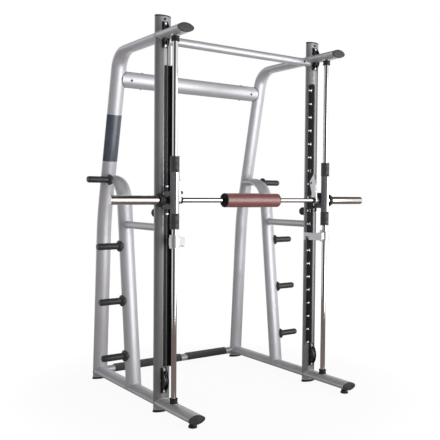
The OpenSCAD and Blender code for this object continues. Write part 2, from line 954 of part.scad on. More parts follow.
module left_bar_block() { side(-1) bar_block(); }
module right_bar_block() { side(1) bar_block(); }

module bar_bushes() {
    color([0.7, 0.58, 0.3])
        both_sides()
            translate([-block_w / 2, bar_y, bar_z])
            inwards() pipe(bar_bush_d, bar_d + 2 * run_gap, block_w);
}

module cable_clamps() {
    color(zinc)
        both_sides() for (e = [-1, 1])
            translate([0, cable_y, bar_z + e * (block_h + clamp_h) / 2 - clamp_h / 2])
                pipe(clamp_d, 2 * groove_r, clamp_h);
}

// Bar

module bar_shaft() {
    color(chrome)
        translate([-bar_half + end_cap_t, post_y + bar_y, bar_z])
            inwards() cylinder(d = bar_d, h = 2 * (bar_half - end_cap_t));
}

// Side frame moved to the bar's axis, with +Z pointing outwards
module at_bar_outwards(out) {
    translate([-out, bar_y, bar_z]) rotate([0, -90, 0]) children();
}

module plate_sleeve() {
    color(chrome)
        at_bar_outwards(sleeve_start) pipe(sleeve_d, bar_d, sleeve_len - end_cap_t);
}

module left_plate_sleeve() { side(-1) plate_sleeve(); }
module right_plate_sleeve() { side(1) plate_sleeve(); }

module sleeve_collars() {
    color(rubber)
        both_sides() at_bar_outwards(sleeve_start - sleeve_collar_t)
            pipe(sleeve_collar_d, bar_d, sleeve_collar_t);
}

end_cap_step = 1;

module sleeve_end_caps() {
    color(black_paint)
        both_sides() at_bar_outwards(sleeve_start + sleeve_len - end_cap_t)
            cylinder(d = sleeve_d - 2 * end_cap_step, h = end_cap_t);
}

point_back = 3;
barb_h = 17;
barb_lip = 2;
barb_drop = 5;
hub_step = 2;

// Flat plate of a hook in the side plane, about the bar's axis
module hook_outline() {
    difference() {
        union() {
            circle(d = hub_d);
            polygon([
                [-hub_d / 2, 0],
                [-hub_d / 3, hook_rise],
                [point_back, hook_point],
                [barb_back, hook_rise + barb_h],
                [barb_back, hook_rise],
                [barb_back - barb_lip, hook_rise - barb_drop],
                [hub_d / 2.2, hook_rise / 2],
                [hub_d / 2, 0]
            ]);
        }
        circle(d = bar_d);
        // Throat: an arc about the bar's axis, so that the hook turns on to a peg
        translate(polar(seat_r, seat_angle)) circle(r = seat_gap);
        intersection() {
            difference() {
                circle(r = seat_r + seat_gap);
                circle(r = seat_r - seat_gap);
            }
            polygon([[0, 0], polar(2 * seat_r, seat_angle), polar(2 * seat_r, seat_angle + 40)]);
        }
    }
}

module hook() {
    color(zinc) {
        translate([hook_in, bar_y, bar_z]) upright() linear_extrude(hook_t) hook_outline();
        translate([block_w / 2 + move_gap, bar_y, bar_z])
            inwards() pipe(hub_d - 2 * hub_step, bar_d, hook_in - block_w / 2 - move_gap);
    }
}

module left_hook() { side(-1) hook(); }
module right_hook() { side(1) hook(); }

module hook_rings() {
    color(rubber)
        both_sides()
            translate([hook_in + hook_t, bar_y, bar_z]) inwards()
            pipe(bar_d + 2 * hook_ring_wall, bar_d, hook_ring_len);
}

pad_step_count = 24;
pad_end_step_count = 6;

// Half of the pad's outline: rounded end, then a shallow crown
function pad_radius(t) = pad_d / 2 - pad_crown + pad_crown * sin(180 * t);

module bar_pad() {
    body_len = pad_len - 2 * pad_round;
    color([0.62, 0.3, 0.28])
        translate([-pad_len / 2, post_y + bar_y, bar_z]) inwards()
        rotate_extrude() difference() {
            polygon([
                [0, 0],
                for (i = [0 : pad_end_step_count])
                    let (a = 90 * i / pad_end_step_count)
                    [pad_radius(0) - pad_round * (1 - sin(a)), pad_round * (1 - cos(a))],
                for (i = [1 : pad_step_count - 1])
                    [pad_radius(i / pad_step_count), pad_round + body_len * i / pad_step_count],
                for (i = [0 : pad_end_step_count])
                    let (a = 90 * i / pad_end_step_count)
                    [pad_radius(1) - pad_round * (1 - cos(a)), pad_len - pad_round * (1 - sin(a))],
                [0, pad_len]
            ]);
            square([bar_d / 2, pad_len]);
        }
}

// Safety stops

stop_under = 24;
stop_low = stop_z - stop_under;
ring_h = stop_h - 2 * stop_flange_h - 2 * move_gap;
ring_low = stop_low + stop_flange_h + move_gap;
arm_under = 16;
arm_low = stop_z - arm_under;
arm_tail = 16;
arm_back = -arm_tail;

module stop_sleeve() {
    color(zinc)
        translate([0, rod_y, stop_low]) difference() {
            union() {
                cylinder(d = stop_flange_d, h = stop_flange_h);
                cylinder(d = stop_neck_d, h = stop_h);
                translate([0, 0, stop_h - stop_flange_h]) cylinder(d = stop_flange_d, h = stop_flange_h);
            }
            translate([0, 0, -over]) cylinder(r = rod_d / 2 + run_gap, h = stop_h + 2 * over);
        }
}

module left_stop_sleeve() { side(-1) stop_sleeve(); }
module right_stop_sleeve() { side(1) stop_sleeve(); }

// Way of a peg through the arm as the arm swings off it
notch_front = peg_y - peg_d / 2 - move_gap;
notch_room = 14;
notch_back = peg_y + peg_d / 2 + notch_room;
notch_top = stop_z + peg_d / 2 + move_gap;

// Arm in its seated place: a ring on the sleeve's neck and a notched plate that reaches to the rack
module seated_arm() {
    difference() {
        union() {
            translate([0, rod_y, ring_low]) cylinder(d = ring_d, h = ring_h);
            translate([0, rod_y - arm_web / 2, ring_low]) cube([hook_in + hook_t, arm_web, ring_h]);
            translate([hook_in, rod_y - arm_web / 2, arm_low])
                cube([hook_t, arm_back - rod_y + arm_web / 2, arm_h]);
        }
        translate([0, rod_y, ring_low - over])
            cylinder(r = stop_neck_d / 2 + run_gap, h = ring_h + 2 * over);
        translate([hook_in - over, notch_front, arm_low - over])
            cube([hook_t + 2 * over, notch_back - notch_front, notch_top - arm_low + over]);
    }
}

module stop_arm() {
    color(zinc)
        translate([0, rod_y, 0]) rotate([0, 0, -arm_clear]) translate([0, -rod_y, 0]) seated_arm();
}

module left_stop_arm() { side(-1) stop_arm(); }
module right_stop_arm() { side(1) stop_arm(); }

left_base_tube();
right_base_tube();
left_post();
right_post();
left_rear_leg();
right_rear_leg();
left_top_stub();
right_top_stub();
left_plate_leg();
right_plate_leg();
braces();
top_cross_tube();
upper_rear_cross_tube();
rear_base_tube();
rear_treads();
tube_end_caps();
rubber_feet();
post_buffers();
label_panel();
cross_tube_bolts();
left_plate_horns();
right_plate_horns();
horn_collars();
left_guide_rod();
right_guide_rod();
rod_collars();
left_rack();
right_rack();
left_rack_pegs();
right_rack_pegs();
pulley_brackets();
pulley_pins();
left_top_pulley();
left_low_pulley();
right_top_pulley();
right_low_pulley();
left_cable();
right_cable();
left_counterweight();
right_counterweight();
left_carriage_tube();
right_carriage_tube();
linear_bushes();
left_bar_block();
right_bar_block();
bar_bushes();
cable_clamps();
bar_shaft();
left_plate_sleeve();
right_plate_sleeve();
sleeve_collars();
sleeve_end_caps();
left_hook();
right_hook();
hook_rings();
bar_pad();
left_stop_sleeve();
right_stop_sleeve();
left_stop_arm();
right_stop_arm();
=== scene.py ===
import math

import bmesh
import bpy
import numpy as np
from mathutils import Matrix, Vector


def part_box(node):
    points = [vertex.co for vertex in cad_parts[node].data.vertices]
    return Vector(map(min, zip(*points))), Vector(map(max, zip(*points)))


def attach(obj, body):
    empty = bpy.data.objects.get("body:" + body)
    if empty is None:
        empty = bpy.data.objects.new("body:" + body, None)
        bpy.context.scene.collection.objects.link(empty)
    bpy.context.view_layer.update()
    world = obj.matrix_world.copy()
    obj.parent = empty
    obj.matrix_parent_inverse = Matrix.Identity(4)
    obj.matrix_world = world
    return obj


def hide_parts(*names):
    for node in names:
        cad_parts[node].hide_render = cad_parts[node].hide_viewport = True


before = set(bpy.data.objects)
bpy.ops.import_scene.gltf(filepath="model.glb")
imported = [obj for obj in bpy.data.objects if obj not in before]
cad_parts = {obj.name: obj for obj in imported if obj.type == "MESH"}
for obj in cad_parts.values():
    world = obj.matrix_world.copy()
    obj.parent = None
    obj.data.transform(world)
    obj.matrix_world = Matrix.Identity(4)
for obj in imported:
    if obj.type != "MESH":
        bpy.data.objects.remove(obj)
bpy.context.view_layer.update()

scene = bpy.context.scene
scene.view_settings.view_transform = "Standard"

# Studio: a seamless white sheet, one large soft light at the front right and a weak one above. In bright
# metal the white room shows a dark doorway at the front left, a dark ceiling and a brown floor.
EYE = (-2.4275, -3.4783, 1.2182)
YAW, PITCH, ROLL = 0.6096, -0.0381, 0.0076
LENS = 670.509 / 440 * 36
SHEET_GREY = (0.62, 0.62, 0.62, 1)
SHEET_REACH = 3.0
SHEET_GLOW = 1.06
FLOOR_BROWN = (0.19, 0.15, 0.135)
SHADE_SHARE = 0.12
ROOM_LIGHT = 0.74
CORNER_WAY, DOOR_WAY, DOOR_SIDE = (-0.66, 0.75, 0.0), (-0.766, -0.643, 0), (0.643, -0.766, 0)
CORNER_SHADE, CEILING_SHADE, CEILING_DIM, DOOR_SHADE = 0.2, 0.96, 0.6, 0.94

camera = bpy.data.objects.new("camera", bpy.data.cameras.new("camera"))
camera.data.lens = LENS
camera.data.sensor_width = 36
camera.data.clip_end = 60
camera.matrix_world = (
    Matrix.Translation(EYE)
    @ Matrix.Rotation(-YAW, 4, "Z")
    @ Matrix.Rotation(math.pi / 2 + PITCH, 4, "X")
    @ Matrix.Rotation(ROLL, 4, "Z")
)
scene.collection.objects.link(camera)
scene.camera = camera


class Field:
    """A value of a shader: arithmetic on it adds Math nodes, and node() adds any other node."""

    def __init__(self, tree, socket=None):
        self.tree = tree
        self.socket = socket

    def node(self, kind, sockets=None, out=0, **settings):
        """Adds a node of that kind: its settings first, then each socket's value or link."""
        made = self.tree.nodes.new(kind)
        for key, value in settings.items():
            setattr(made, key, value)
        for key, value in (sockets or {}).items():
            if isinstance(value, Field):
                self.tree.links.new(value.socket, made.inputs[key])
            else:
                made.inputs[key].default_value = value
        return Field(self.tree, made.outputs[out])

    def math(self, operation, *others):
        return self.node("ShaderNodeMath", dict(enumerate((self, *others))), operation=operation)

    def __add__(self, other):
        return self.math("ADD", other)

    def __sub__(self, other):
        return self.math("SUBTRACT", other)

    def __mul__(self, other):
        return self.math("MULTIPLY", other)

    def __rsub__(self, other):
        return self.node("ShaderNodeMath", {0: other, 1: self}, operation="SUBTRACT")

    __radd__ = __add__
    __rmul__ = __mul__

    def noise(self, scale, detail=2.0):
        """Cloudy grain from 0 to 1 at this place, with scale clouds to the metre."""
        return self.node("ShaderNodeTexNoise", {"Vector": self, "Scale": scale, "Detail": detail})

    def stretched(self, x, y, z):
        """This place with each coordinate multiplied by its own number."""
        return self.node("ShaderNodeVectorMath", {0: self, 1: (x, y, z)}, operation="MULTIPLY")

    def along(self, x, y, z):
        """How far this place or direction reaches along a direction."""
        return self.node("ShaderNodeVectorMath", {0: self, 1: (x, y, z)}, "Value", operation="DOT_PRODUCT")

    def step(self, low, high):
        """0 at low, 1 at high, and a smooth change between them."""
        if low > high:
            return 1 - self.step(high, low)
        ends = {"Value": self, 1: low, 2: high}
        return self.node("ShaderNodeMapRange", ends, interpolation_type="SMOOTHSTEP")

    def tint(self, low, high):
        """The colour low where this value is 0 and high where it is 1."""
        low, high = ((*c, 1) if isinstance(c, tuple) else c for c in (low, high))
        return self.node("ShaderNodeMix", {0: self, 6: low, 7: high}, 2, data_type="RGBA")


def seen_white(tree):
    """1 for what is seen directly, in a mirror or through glass, and 0 for light on the object."""
    kinds = ("Camera", "Glossy", "Transmission")
    rays = [Field(tree).node("ShaderNodeLightPath", out=f"Is {kind} Ray") for kind in kinds]
    return rays[0].math("MAXIMUM", rays[1]).math("MAXIMUM", rays[2])


world = bpy.data.worlds.new("white_room")
scene.world = world
world.use_nodes = True
room = world.node_tree
back = room.nodes["Background"]
back.inputs["Color"].default_value = (1, 1, 1, 1)
to_wall = Field(room).node("ShaderNodeTexCoord", out="Generated")
seen = Field(room).node("ShaderNodeLightPath", out="Is Camera Ray")
corner = to_wall.along(*CORNER_WAY).step(0.15, 0.95)
ceiling = to_wall.along(0, 0, 1).step(0.40, 0.62)
door_width = to_wall.along(*DOOR_SIDE).math("ABSOLUTE").step(0.68, 0.58)
doorway = door_width * to_wall.along(*DOOR_WAY).step(0, 0.3)
wall = (1 - corner * CORNER_SHADE) * (1 - ceiling * CEILING_SHADE) * (1 - doorway * DOOR_SHADE)
shown = seen_white(room)
light = ROOM_LIGHT * (1 - ceiling * CEILING_DIM)
brightness = (wall * shown + light * (1 - shown)).math("MAXIMUM", seen)
room.links.new(brightness.socket, back.inputs["Strength"])

sheet = bpy.data.materials.new("floor_sheet")
sheet.use_nodes = True
paper = sheet.node_tree
paper_shader = paper.nodes["Principled BSDF"]
paper_shader.inputs["Base Color"].default_value = SHEET_GREY
paper_shader.inputs["Roughness"].default_value = 0.9
glow = paper.nodes.new("ShaderNodeEmission")
glow.inputs["Strength"].default_value = SHEET_GLOW
fade = paper.nodes.new("ShaderNodeMixShader")
spot = Field(paper).node("ShaderNodeTexCoord", out="Object")
away = spot.node("ShaderNodeVectorMath", {0: spot}, "Value", operation="LENGTH")
share = seen_white(paper) * (1 - SHADE_SHARE * away.step(1.9, 0.9))
mirrored = Field(paper).node("ShaderNodeLightPath", out="Is Glossy Ray")
paper.links.new(mirrored.tint((1, 1, 1), FLOOR_BROWN).socket, glow.inputs["Color"])
paper.links.new(share.socket, fade.inputs[0])
paper.links.new(paper_shader.outputs[0], fade.inputs[1])
paper.links.new(glow.outputs[0], fade.inputs[2])
paper.links.new(fade.outputs[0], paper.nodes["Material Output"].inputs["Surface"])

floor_mesh = bpy.data.meshes.new("floor")
sheet_corners = [(SHEET_REACH * x, SHEET_REACH * y, 0) for x, y in ((-1, -1), (1, -1), (1, 1), (-1, 1))]
floor_mesh.from_pydata(sheet_corners, [], [(0, 1, 2, 3)])
floor_mesh.materials.append(sheet)
floor = bpy.data.objects.new("floor", floor_mesh)
scene.collection.objects.link(floor)


def soft_light(name, place, target, size, power):
    """A square light at a place, aimed at a target point."""
    lamp = bpy.data.lights.new(name, "AREA")
    lamp.size = size
    lamp.energy = power
    made = bpy.data.objects.new(name, lamp)
    aim = (Vector(target) - Vector(place)).to_track_quat("-Z", "Y")
    made.matrix_world = Matrix.Translation(place) @ aim.to_matrix().to_4x4()
    scene.collection.objects.link(made)


soft_light("front_right_light", (2.6, -4.4, 1.0), (0, 0, 1.1), 3.4, 130)
soft_light("overhead_light", (-0.6, -1.0, 4.6), (0, 0, 0), 2.5, 10)


# Frame tubes: oval and round steel tube, bent, coped and welded, then powder coated in a silver
# with fine metal flake. The coat is satin, a little cloudy and orange-peeled, and dusty at the floor.
SILVER = (0.54, 0.535, 0.57)
SILVER_PALE = (0.62, 0.615, 0.645)
FLAKE = (0.85, 0.85, 0.87)
FLOOR_DUST = (0.44, 0.43, 0.42)


def finish(name):
    """A new material with its Principled shader, and the place on the object as a Field."""
    material = bpy.data.materials.new(name)
    material.use_nodes = True
    tree = material.node_tree
    place = Field(tree).node("ShaderNodeTexCoord", out="Object")
    return material, tree.nodes["Principled BSDF"], place


def feed(shader, **fields):
    """Links Fields to the shader's sockets; a socket's name is written with _ for each space."""
    for name, field in fields.items():
        field.tree.links.new(field.socket, shader.inputs[name.replace("_", " ")])


def fixed(shader, **values):
    """Sets the shader's sockets that are the same all over."""
    for name, value in values.items():
        shader.inputs[name.replace("_", " ")].default_value = value


def bump(shader, height, depth, strength=1.0):
    """Relief of that height Field, depth metres deep, on the shader's normal."""
    sockets = {"Height": height, "Distance": depth, "Strength": strength}
    feed(shader, Normal=height.node("ShaderNodeBump", sockets))


def dress(material, *names):
    """Gives the material to these CAD nodes."""
    for name in names:
        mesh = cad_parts[name].data
        mesh.materials.clear()
        mesh.materials.append(material)


silver_coat, shader, place = finish("silver_powder_coat")
cloud = place.noise(5.0, 3.0)
flake = place.noise(1800.0, 1.0).step(0.58, 0.72)
dust = place.along(0, 0, 1).step(0.30, 0.0) * place.noise(30.0, 4.0)
colour = (flake * 0.4).tint(cloud.tint(SILVER, SILVER_PALE), FLAKE)
feed(shader, Base_Color=(dust * 0.2).tint(colour, FLOOR_DUST))
feed(shader, Roughness=0.36 + cloud * 0.08 + dust * 0.15)
feed(shader, Metallic=0.40 + flake * 0.25)
fixed(shader, Coat_Weight=0.2, Coat_Roughness=0.25)
bump(shader, place.noise(420.0, 2.0), 0.0002, 0.25)
dress(
    silver_coat,
    "left_base_tube", "right_base_tube", "left_rear_leg", "right_rear_leg",
    "left_top_stub", "right_top_stub", "left_plate_leg", "right_plate_leg",
    "braces", "top_cross_tube", "upper_rear_cross_tube", "rear_base_tube",
)


# Posts: the same oval tube in a darker, more metallic silver, with paler upright streaks painted into its
# colour as a painted reflection of the room. The weight runs inside, and slots are cut for the pulleys.
GRAPHITE = (0.29, 0.29, 0.30)
GRAPHITE_PAINTED_REFLECTION = (0.38, 0.38, 0.39)

post_coat, shader, place = finish("graphite_post_coat")
painted_reflection_streak = place.stretched(90, 90, 0.7).noise(1.0, 3.0)
flake = place.noise(1800.0, 1.0).step(0.58, 0.72)
# Paler upright streaks in the colour are a painted reflection of the room; the same streaks also vary the
# roughness.
feed(shader, Base_Color=(painted_reflection_streak * 0.8 + flake * 0.2).tint(GRAPHITE, GRAPHITE_PAINTED_REFLECTION))
feed(shader, Roughness=0.34 + painted_reflection_streak * 0.10, Metallic=0.55 + flake * 0.2)
fixed(shader, Coat_Weight=0.2, Coat_Roughness=0.2)
bump(shader, place.noise(420.0, 2.0), 0.0002, 0.2)
dress(post_coat, "left_post", "right_post")


# Weld beads: fillets of weld with the ripple of the torch, round each place where one frame tube
# meets another. They are painted with the frame. A dark seal fills the upper rear tube's end joints.
POST_X, POST_Y = 0.555, -0.232
TUBE_HALF, TUBE_DEPTH = 0.050, 0.025
OVAL_STEP = (TUBE_HALF - TUBE_DEPTH) / 2
EDGE_X, EDGE_R = 3 * OVAL_STEP, TUBE_DEPTH - OVAL_STEP
FACE_Y, FACE_R = 4 * OVAL_STEP, TUBE_DEPTH + 4 * OVAL_STEP
BASE_Z, BEAM_Z, PLATE_Z, BRACE_Z = 0.050, 2.090, 1.310, 1.030
LOW_LEAN, HIGH_LEAN, PLATE_LEAN = math.radians(3.5), math.radians(12.5), math.radians(6.4)
REAR_FOOT, PLATE_FOOT, REAR_BEND_Z = 0.810, 0.325, 1.065
TOP_CROSS_Z, REAR_CROSS_Z = 2.068, 1.930
BRACE_R, ROUND_R, CROSS_ROOT = 0.0215, 0.024, 0.020
EDGE_COS, EDGE_SIN, MOST_CUT = 0.6, 0.8, 0.010
BEAD, SEAL, RIPPLE, RIPPLE_PITCH = 0.0035, 0.0022, 0.14, 0.006
SEAL_BLACK = (0.022, 0.022, 0.024)
SEAL_PALE = (0.05, 0.05, 0.052)


def rear_leg_y(z):
    """Centre of the rear leg behind the post at height z: two leaning straight lines."""
    below = REAR_FOOT - z * math.tan(LOW_LEAN)
    bend = REAR_FOOT - REAR_BEND_Z * math.tan(LOW_LEAN)
    above = bend - (z - REAR_BEND_Z) * math.tan(HIGH_LEAN)
    return np.where(z < REAR_BEND_Z, below, above)


def oval_outline(inset=0.0, count=96):
    """Points round the oval tube, by the way they face: tight arcs at its edges and flat arcs between,
    which meet where they face 3 across to 4 deep. The inset is taken off the arcs, and beyond 10 mm the
    outline shrinks to its middle instead, which half the tube's depth reaches."""
    turn = (np.arange(count) + 0.5) * 2 * math.pi / count
    cos, sin = np.cos(turn), np.sin(turn)
    cut = min(inset, MOST_CUT)
    at_edge = np.abs(cos) > EDGE_COS
    across = np.where(at_edge, np.sign(cos) * EDGE_X + (EDGE_R - cut) * cos, (FACE_R - cut) * cos)
    deep = np.where(at_edge, (EDGE_R - cut) * sin, (FACE_R - cut) * sin - np.sign(sin) * FACE_Y)
    share = (TUBE_DEPTH - inset) / (TUBE_DEPTH - cut)
    return share * across, share * deep


def oval_depth(across):
    """Half depth of the oval tube at a distance across it: the flat arc's, then the edge arc's."""
    x = np.abs(across)
    on_face = np.sqrt(FACE_R**2 - x**2) - FACE_Y
    on_edge = np.sqrt(np.maximum(EDGE_R**2 - (x - EDGE_X) ** 2, 0))
    return np.where(x < EDGE_COS * FACE_R, on_face, on_edge)


def nose(depth):
    """Half width of the oval tube at a depth: the edge arc's, then the flat arc's."""
    y = np.abs(depth)
    on_face = np.sqrt(np.maximum(FACE_R**2 - (y + FACE_Y) ** 2, 0))
    on_edge = EDGE_X + np.sqrt(np.maximum(EDGE_R**2 - y**2, 0))
    return np.where(y < EDGE_SIN * EDGE_R, on_edge, on_face)


def bead_round(path, radius, sides=8):
    """A round bead carried along a closed path: a circle square to the path at each point, whose
    radius swells and shrinks in an even ripple."""
    ahead = np.roll(path, -1, 0) - np.roll(path, 1, 0)
    ahead /= np.linalg.norm(ahead, axis=1, keepdims=True)
    side = np.cross(ahead, path - path.mean(0))
    side /= np.linalg.norm(side, axis=1, keepdims=True)
    out = np.cross(side, ahead)
    length = np.cumsum(np.linalg.norm(np.roll(path, -1, 0) - path, axis=1))
    ripple = (radius * (1 + RIPPLE * np.sin(length / RIPPLE_PITCH * 2 * math.pi)))[:, None, None]
    turn = np.linspace(0, 2 * math.pi, sides, endpoint=False)[None, :, None]
    return path[:, None] + ripple * (np.cos(turn) * out[:, None] + np.sin(turn) * side[:, None])


def mesh_piece(name, grids, material, body, sharp=40, wraps=False):
    """One piece from grids of points. Each grid closes round its second way. Its first way closes
    too if wraps is true, and otherwise its end rows lie folded shut on a point or a line."""
    points, faces, base = [], [], 0
    for grid in grids:
        rows, around = grid.shape[:2]
        index = base + np.arange(rows * around).reshape(rows, around)
        near = index if wraps else index[:-1]
        far = np.roll(index, -1, 0) if wraps else index[1:]
        faces.append(np.stack([near, np.roll(near, -1, 1), np.roll(far, -1, 1), far], -1).reshape(-1, 4))
        points.append(grid.reshape(-1, 3))
        base += rows * around
    mesh = bpy.data.meshes.new(name)
    mesh.from_pydata(np.concatenate(points).tolist(), [], np.concatenate(faces).tolist())
    shell = bmesh.new()
    shell.from_mesh(mesh)
    bmesh.ops.remove_doubles(shell, verts=shell.verts, dist=2e-6)
    bmesh.ops.recalc_face_normals(shell, faces=shell.faces)
    shell.to_mesh(mesh)
    shell.free()
    mesh.polygons.foreach_set("use_smooth", np.ones(len(mesh.polygons), bool))
    mesh.set_sharp_from_angle(angle=math.radians(sharp))
    mesh.materials.append(material)
    made = bpy.data.objects.new(name, mesh)
    scene.collection.objects.link(made)
    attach(made, body)
    return made


def at_side(side, x, y, z):
    """Points given from a post's centre, x inwards, put at the left (-1) or right (1) of the machine."""
    return np.stack(np.broadcast_arrays(side * (POST_X - x), POST_Y + y, z), -1)


across, deep = oval_outline()
ring = np.linspace(0, 2 * math.pi, 96, endpoint=False)
standing = BASE_Z + oval_depth(across)
flush = oval_depth(across)
low = BASE_Z + deep
high = PLATE_Z + deep
brace_across = BRACE_R * np.cos(ring)
brace_rim = BRACE_Z + BRACE_R * np.sin(ring)
brace_end = PLATE_FOOT + brace_rim * math.tan(PLATE_LEAN) - oval_depth(brace_across) / math.cos(PLATE_LEAN)
round_across, round_rise = ROUND_R * np.cos(ring), ROUND_R * np.sin(ring)
weld_paths = [
    (across, deep, standing),
    (across, -flush, BEAM_Z + deep),
    (across, flush, BEAM_Z + deep),
    (across, PLATE_FOOT + standing * math.tan(PLATE_LEAN) + deep / math.cos(PLATE_LEAN), standing),
    (across, rear_leg_y(high) - flush / math.cos(HIGH_LEAN), high),
    (across, rear_leg_y(low) - flush / math.cos(LOW_LEAN), low),
    (brace_across, oval_depth(brace_across), brace_rim),
    (brace_across, brace_end, brace_rim),
    (nose(round_across), round_across, TOP_CROSS_Z + round_rise),
    (nose(round_across), rear_leg_y(BASE_Z + round_rise) + round_across, BASE_Z + round_rise),
]
mesh_piece(
    "weld_beads",
    [bead_round(at_side(side, *path), BEAD) for side in (-1, 1) for path in weld_paths],
    silver_coat, "frame", wraps=True,
)

dark_seal, shader, place = finish("dark_joint_seal")
speck = place.noise(900.0, 2.0)
feed(shader, Base_Color=speck.tint(SEAL_BLACK, SEAL_PALE), Roughness=0.5 + speck * 0.2)
bump(shader, speck, 0.0002, 0.3)
seal_path = (
    np.maximum(nose(deep), CROSS_ROOT),
    rear_leg_y(REAR_CROSS_Z) - across * math.sin(HIGH_LEAN) + deep * math.cos(HIGH_LEAN),
    REAR_CROSS_Z + across * math.cos(HIGH_LEAN) + deep * math.sin(HIGH_LEAN),
)
mesh_piece(
    "rear_cross_seals",
    [bead_round(at_side(side, *seal_path), SEAL) for side in (-1, 1)],
    dark_seal, "frame", wraps=True,
)


# End caps: moulded dark grey plastic plugs in the open ends of the tubes. Each has a rounded rim, a
# fine groove inside it and a slightly domed face with a spark-eroded grain.
CAP_GREY = (0.028, 0.028, 0.030)
CAP_WORN = (0.060, 0.060, 0.063)
FRONT_END, STUB_END, POST_END = -0.366, -0.236, 2.191
CAP_RINGS = [
    (25.0, 0.0), (0.2, 0.0), (0.0, 0.4), (0.0, 6.5), (0.5, 7.9), (1.8, 8.6), (3.2, 8.6),
    (3.8, 7.9), (4.6, 7.9), (5.2, 8.5), (9.0, 8.8), (15.0, 8.95), (25.0, 9.0),
]
X, Y, Z = np.eye(3)


def oval_rings(rings, base, x_way, y_way, z_way):
    """Oval outlines laid one on the next: ring i is drawn inset by its first number and set at its
    second along z_way, both in millimetres. An inset of half the tube's depth shuts the end."""
    rows = []
    for inset, rise in rings:
        across, deep = oval_outline(inset / 1000)
        rows.append(across[:, None] * x_way + deep[:, None] * y_way + rise / 1000 * z_way)
    return np.array(rows) + base


cap_plastic, shader, place = finish("cap_plastic")
grain = place.noise(700.0, 3.0)
worn = place.noise(22.0, 4.0).step(0.45, 0.75)
feed(shader, Base_Color=(worn * 0.7 + grain * 0.2).tint(CAP_GREY, CAP_WORN), Roughness=0.42 + worn * 0.16)
bump(shader, grain, 0.0003, 0.35)
cap_places = [(FRONT_END, BASE_Z, Z, -Y), (STUB_END, BEAM_Z, Z, -Y), (0, POST_END, Y, Z)]
caps = mesh_piece(
    "moulded_end_caps",
    [
        oval_rings(CAP_RINGS, at_side(side, 0, y, z), X, deep_way, out_way)
        for side in (-1, 1)
        for y, z, deep_way, out_way in cap_places
    ],
    cap_plastic, "frame",
)
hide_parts("tube_end_caps")


# Feet and buffers: black moulded rubber. Oval boots flare out under the posts and rear legs, round
# feet are screwed under the front ends, and a domed buffer on each post's back takes a leaning plate.
RUBBER_BLACK = (0.014, 0.014, 0.015)
RUBBER_DUST = (0.085, 0.083, 0.08)
BOOT_RINGS = [
    (25, 12), (-0.4, 12), (-1.0, 10.5), (-1.6, 8), (-3.2, 4), (-4, 2.6), (-4, 1.0), (-3.4, 0), (25, 0),
]
FRONT_FOOT = [(27, 0), (27, 18.5), (13, 19), (10, 21), (8, 23.4), (6.5, 24), (1.2, 24), (0, 23), (0, 0)]
BUFFER = [
    (-6, 0), (-6, 26), (44, 26), (44.8, 25.2), (46.2, 25.2), (47, 26),
    (52, 25.4), (56.5, 23), (59.3, 18), (60, 10), (60, 0),
]
FRONT_FOOT_Y, BUFFER_Z = -0.330, 1.112


def turned(profile, base, axis, around=40, hexed=()):
    """A profile turned about an axis through base: each row is (millimetres along the axis, radius).
    The rows listed in hexed are drawn as a hexagon of that radius across its corners."""
    profile = np.array(profile) / 1000
    axis = np.array(axis) / np.linalg.norm(axis)
    side = np.cross(axis, X if abs(axis[0]) < 0.7 else Z)
    side /= np.linalg.norm(side)
    turn = np.linspace(0, 2 * math.pi, around, endpoint=False)
    flat = math.cos(math.pi / 6) / np.cos((turn + math.pi / 6) % (math.pi / 3) - math.pi / 6)
    shape = np.where(np.isin(np.arange(len(profile)), hexed)[:, None], flat, 1.0)
    spoke = np.cos(turn)[:, None] * side + np.sin(turn)[:, None] * np.cross(axis, side)
    return np.array(base) + profile[:, :1, None] * axis + (profile[:, 1:] * shape)[..., None] * spoke


black_rubber, shader, place = finish("black_rubber")
dust = place.along(0, 0, 1).step(0.05, 0.0) * place.noise(60.0, 4.0).step(0.4, 0.85)
speckle = place.noise(900.0, 2.0)
feed(shader, Base_Color=(dust * 0.6 + speckle * 0.12).tint(RUBBER_BLACK, RUBBER_DUST))
feed(shader, Roughness=0.5 + speckle * 0.25)
bump(shader, speckle, 0.0003, 0.4)
feet = mesh_piece(
    "moulded_feet",
    [
        grid
        for side in (-1, 1)
        for grid in (
            oval_rings(BOOT_RINGS, at_side(side, 0, 0, 0), X, Y, Z),
            oval_rings(BOOT_RINGS, at_side(side, 0, REAR_FOOT, 0), X, Y, Z),
            turned(FRONT_FOOT, at_side(side, 0, FRONT_FOOT_Y, 0), Z),
        )
    ],
    black_rubber, "frame",
)
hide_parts("rubber_feet")
buffers = mesh_piece(
    "domed_buffers",
    [turned(BUFFER, at_side(side, 0, TUBE_DEPTH, BUFFER_Z), Y) for side in (-1, 1)],
    black_rubber, "frame",
)
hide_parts("post_buffers")


# Treads: grey rubber half shells pushed over the rear base tube, moulded with fine ribs round the
# tube. Their tops are paler, partly from rubbed wear and partly as a painted highlight of the light from
# above.
TREAD_GREY = (0.040, 0.041, 0.043)
TREAD_WORN_AND_HIGHLIT = (0.23, 0.23, 0.233)
RIB = 0.007

tread_rubber, shader, place = finish("tread_rubber")
rib = (place.along(1, 0, 0) * (2 * math.pi / RIB)).math("SINE").step(-0.5, 0.5)
# Paler along the top of each tread: rubbed wear mixed with a painted highlight.
rubbed = place.along(0, 0, 1).step(0.060, 0.080) * place.noise(40.0, 4.0)
feed(shader, Base_Color=(rubbed * 0.8 + rib * 0.12).tint(TREAD_GREY, TREAD_WORN_AND_HIGHLIT))
feed(shader, Roughness=0.66 - rubbed * 0.2)
bump(shader, rib + place.noise(600.0) * 0.15, 0.0008, 0.6)
dress(tread_rubber, "rear_treads")


# Label: a bare panel of dark navy film stuck round the front of the left rear leg, with nothing on
# it. The film is faintly clouded where it was smoothed down by hand.
NAVY = (0.042, 0.050, 0.076)
NAVY_PALE = (0.085, 0.098, 0.135)

